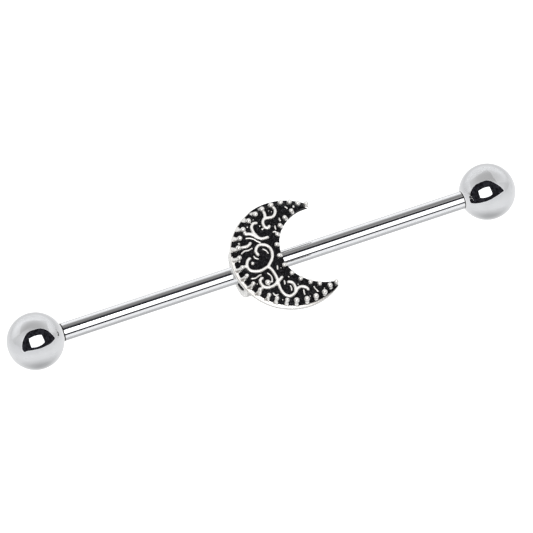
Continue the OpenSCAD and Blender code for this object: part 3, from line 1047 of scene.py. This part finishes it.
def set_cards(axes):
    """The dark reflector with its bright window, and clear cards that each light one piece.

    A clear card nearer the object than the reflector adds its light to what lies behind it.
    """
    s = stage_settings()
    near, far = s.dome_distance, s.window_distance
    turns, by_left, by_right, by_bar = zip(*DOME)
    dome = reaching(turns, np.max([by_left, by_right, by_bar], axis=0))
    black = lit_card("card_black", 1, (0.022, 0.022, 0.027), clear=False, uneven=0.6)
    round_card("dome_card", shrunk(dome, 0.6), dome, axes, near, black)
    round_card("back_card", shrunk(dome, 0), shrunk(dome, 0.85), axes, 1.06 * far, black)
    round_card("window_card", shrunk(WINDOW, 0, (-1, -1)), WINDOW, axes, far,
               lit_card("card_white", 2, clear=False))
    # Each ball stands nearer one end of the reflector and sees less of the other.
    wide = reaching(turns, [112] * len(turns))
    fill = sky_card("card_fill", axes, True, 0)
    soft = sky_card("card_soft", axes, False, 0.29)
    glint = lit_card("card_glint", 0.35)
    for ball, reaches in (("ball_left", by_left), ("ball_right", by_right)):
        seen, lights = reaching(turns, reaches), [ball + "_polished"]
        for name, inner, outer, share, material in (
                ("_fill", seen, dome, 0.995, fill), ("_soft", seen, wide, 0.99, soft),
                ("_glint", seen, shrunk(seen, 1.03), 0.985, glint)):
            round_card(ball + name, inner, outer, axes, share * near, material, lights)
    round_card("sheet_edge", SHEET, BEYOND, axes, 0.98 * near,
               sky_card("card_edge", axes, False, 0.25),
               ["ball_left_polished", "ball_right_polished"], closed=False)
    for name, low, high, strength in BAR_CARDS:
        bar_card(name, low, high, axes[2], 0.85 * near, lit_card("card_" + name, strength))
    for name, inner, outer, share, material in (
            ("moon_light", shrunk(FACE_LIGHT, 0, (26, 26)), FACE_LIGHT, 0.92,
             lit_card("card_face", 1)),
            ("moon_fill", shrunk(dome, 0), dome, 0.93, lit_card("card_warm", 0.22, (1, 0.9, 0.8))),
            ("moon_soft", dome, wide, 0.91, sky_card("card_moon", axes, False, 0.6))):
        round_card(name, inner, outer, axes, share * near, material, ["moon_cast"])


def set_camera(scene, right, up, toward):
    s = stage_settings()
    data = bpy.data.cameras.new("camera")
    data.sensor_width = 36
    data.lens = s.scale * data.sensor_width * s.distance / MM / s.picture
    data.clip_start, data.clip_end = 0.01, 10
    half = s.picture / 2
    aim = (right * (half - s.middle_x) - up * (half - s.middle_y)) * (MM / s.scale)
    camera = bpy.data.objects.new("camera", data)
    scene.collection.objects.link(camera)
    turn = Matrix((right, up, toward)).transposed().to_4x4()
    camera.matrix_world = Matrix.Translation(aim + toward * s.distance) @ turn
    scene.camera = camera


class BARBELL_OT_stage(bpy.types.Operator):
    """Set the floor, the light, the reflector cards and the camera"""
    bl_idname = "barbell.stage"
    bl_label = "Stage"

    def execute(self, context):
        right, up, toward = view_axes()
        slope = stage_settings().bar_slope
        c, n = math.cos(slope), math.sin(slope)
        axes = (c * right + n * up, c * up - n * right, toward)
        set_floor()
        context.scene.world = surround(axes)
        set_cards(axes)
        set_camera(context.scene, right, up, toward)
        context.scene.view_settings.view_transform = "Standard"
        context.scene.view_settings.look = "None"
        return {"FINISHED"}


class BARBELL_PT_panel(bpy.types.Panel):
    """Lists the pieces, the stage and their settings"""
    bl_idname = "BARBELL_PT_panel"
    bl_label = "Crescent barbell"
    bl_space_type = "VIEW_3D"
    bl_region_type = "UI"
    bl_category = "Barbell"

    def draw(self, context):
        for operator in (BARBELL_OT_shank, BARBELL_OT_balls, BARBELL_OT_moon, BARBELL_OT_stage):
            self.layout.operator(operator.bl_idname)
        for label, group in (("Metal", context.scene.barbell_metal),
                             ("Moon", context.scene.barbell_moon),
                             ("Stage", context.scene.barbell_stage)):
            box = self.layout.box()
            box.label(text=label)
            for name in group.bl_rna.properties.keys():
                if name not in ("rna_type", "name"):
                    box.prop(group, name)


CLASSES = (BarbellMetal, BarbellMoon, BarbellStage, BARBELL_OT_shank, BARBELL_OT_balls,
           BARBELL_OT_moon, BARBELL_OT_stage, BARBELL_PT_panel)
GROUPS = {"barbell_metal": BarbellMetal, "barbell_moon": BarbellMoon,
          "barbell_stage": BarbellStage}


def register():
    for cls in CLASSES:
        bpy.utils.register_class(cls)
    for name, group in GROUPS.items():
        setattr(bpy.types.Scene, name, PointerProperty(type=group))


def unregister():
    for name in GROUPS:
        delattr(bpy.types.Scene, name)
    for cls in reversed(CLASSES):
        bpy.utils.unregister_class(cls)


def main():
    register()
    bpy.ops.barbell.shank()
    bpy.ops.barbell.balls()
    bpy.ops.barbell.moon()
    bpy.ops.barbell.stage()


if __name__ == "__main__":
    main()
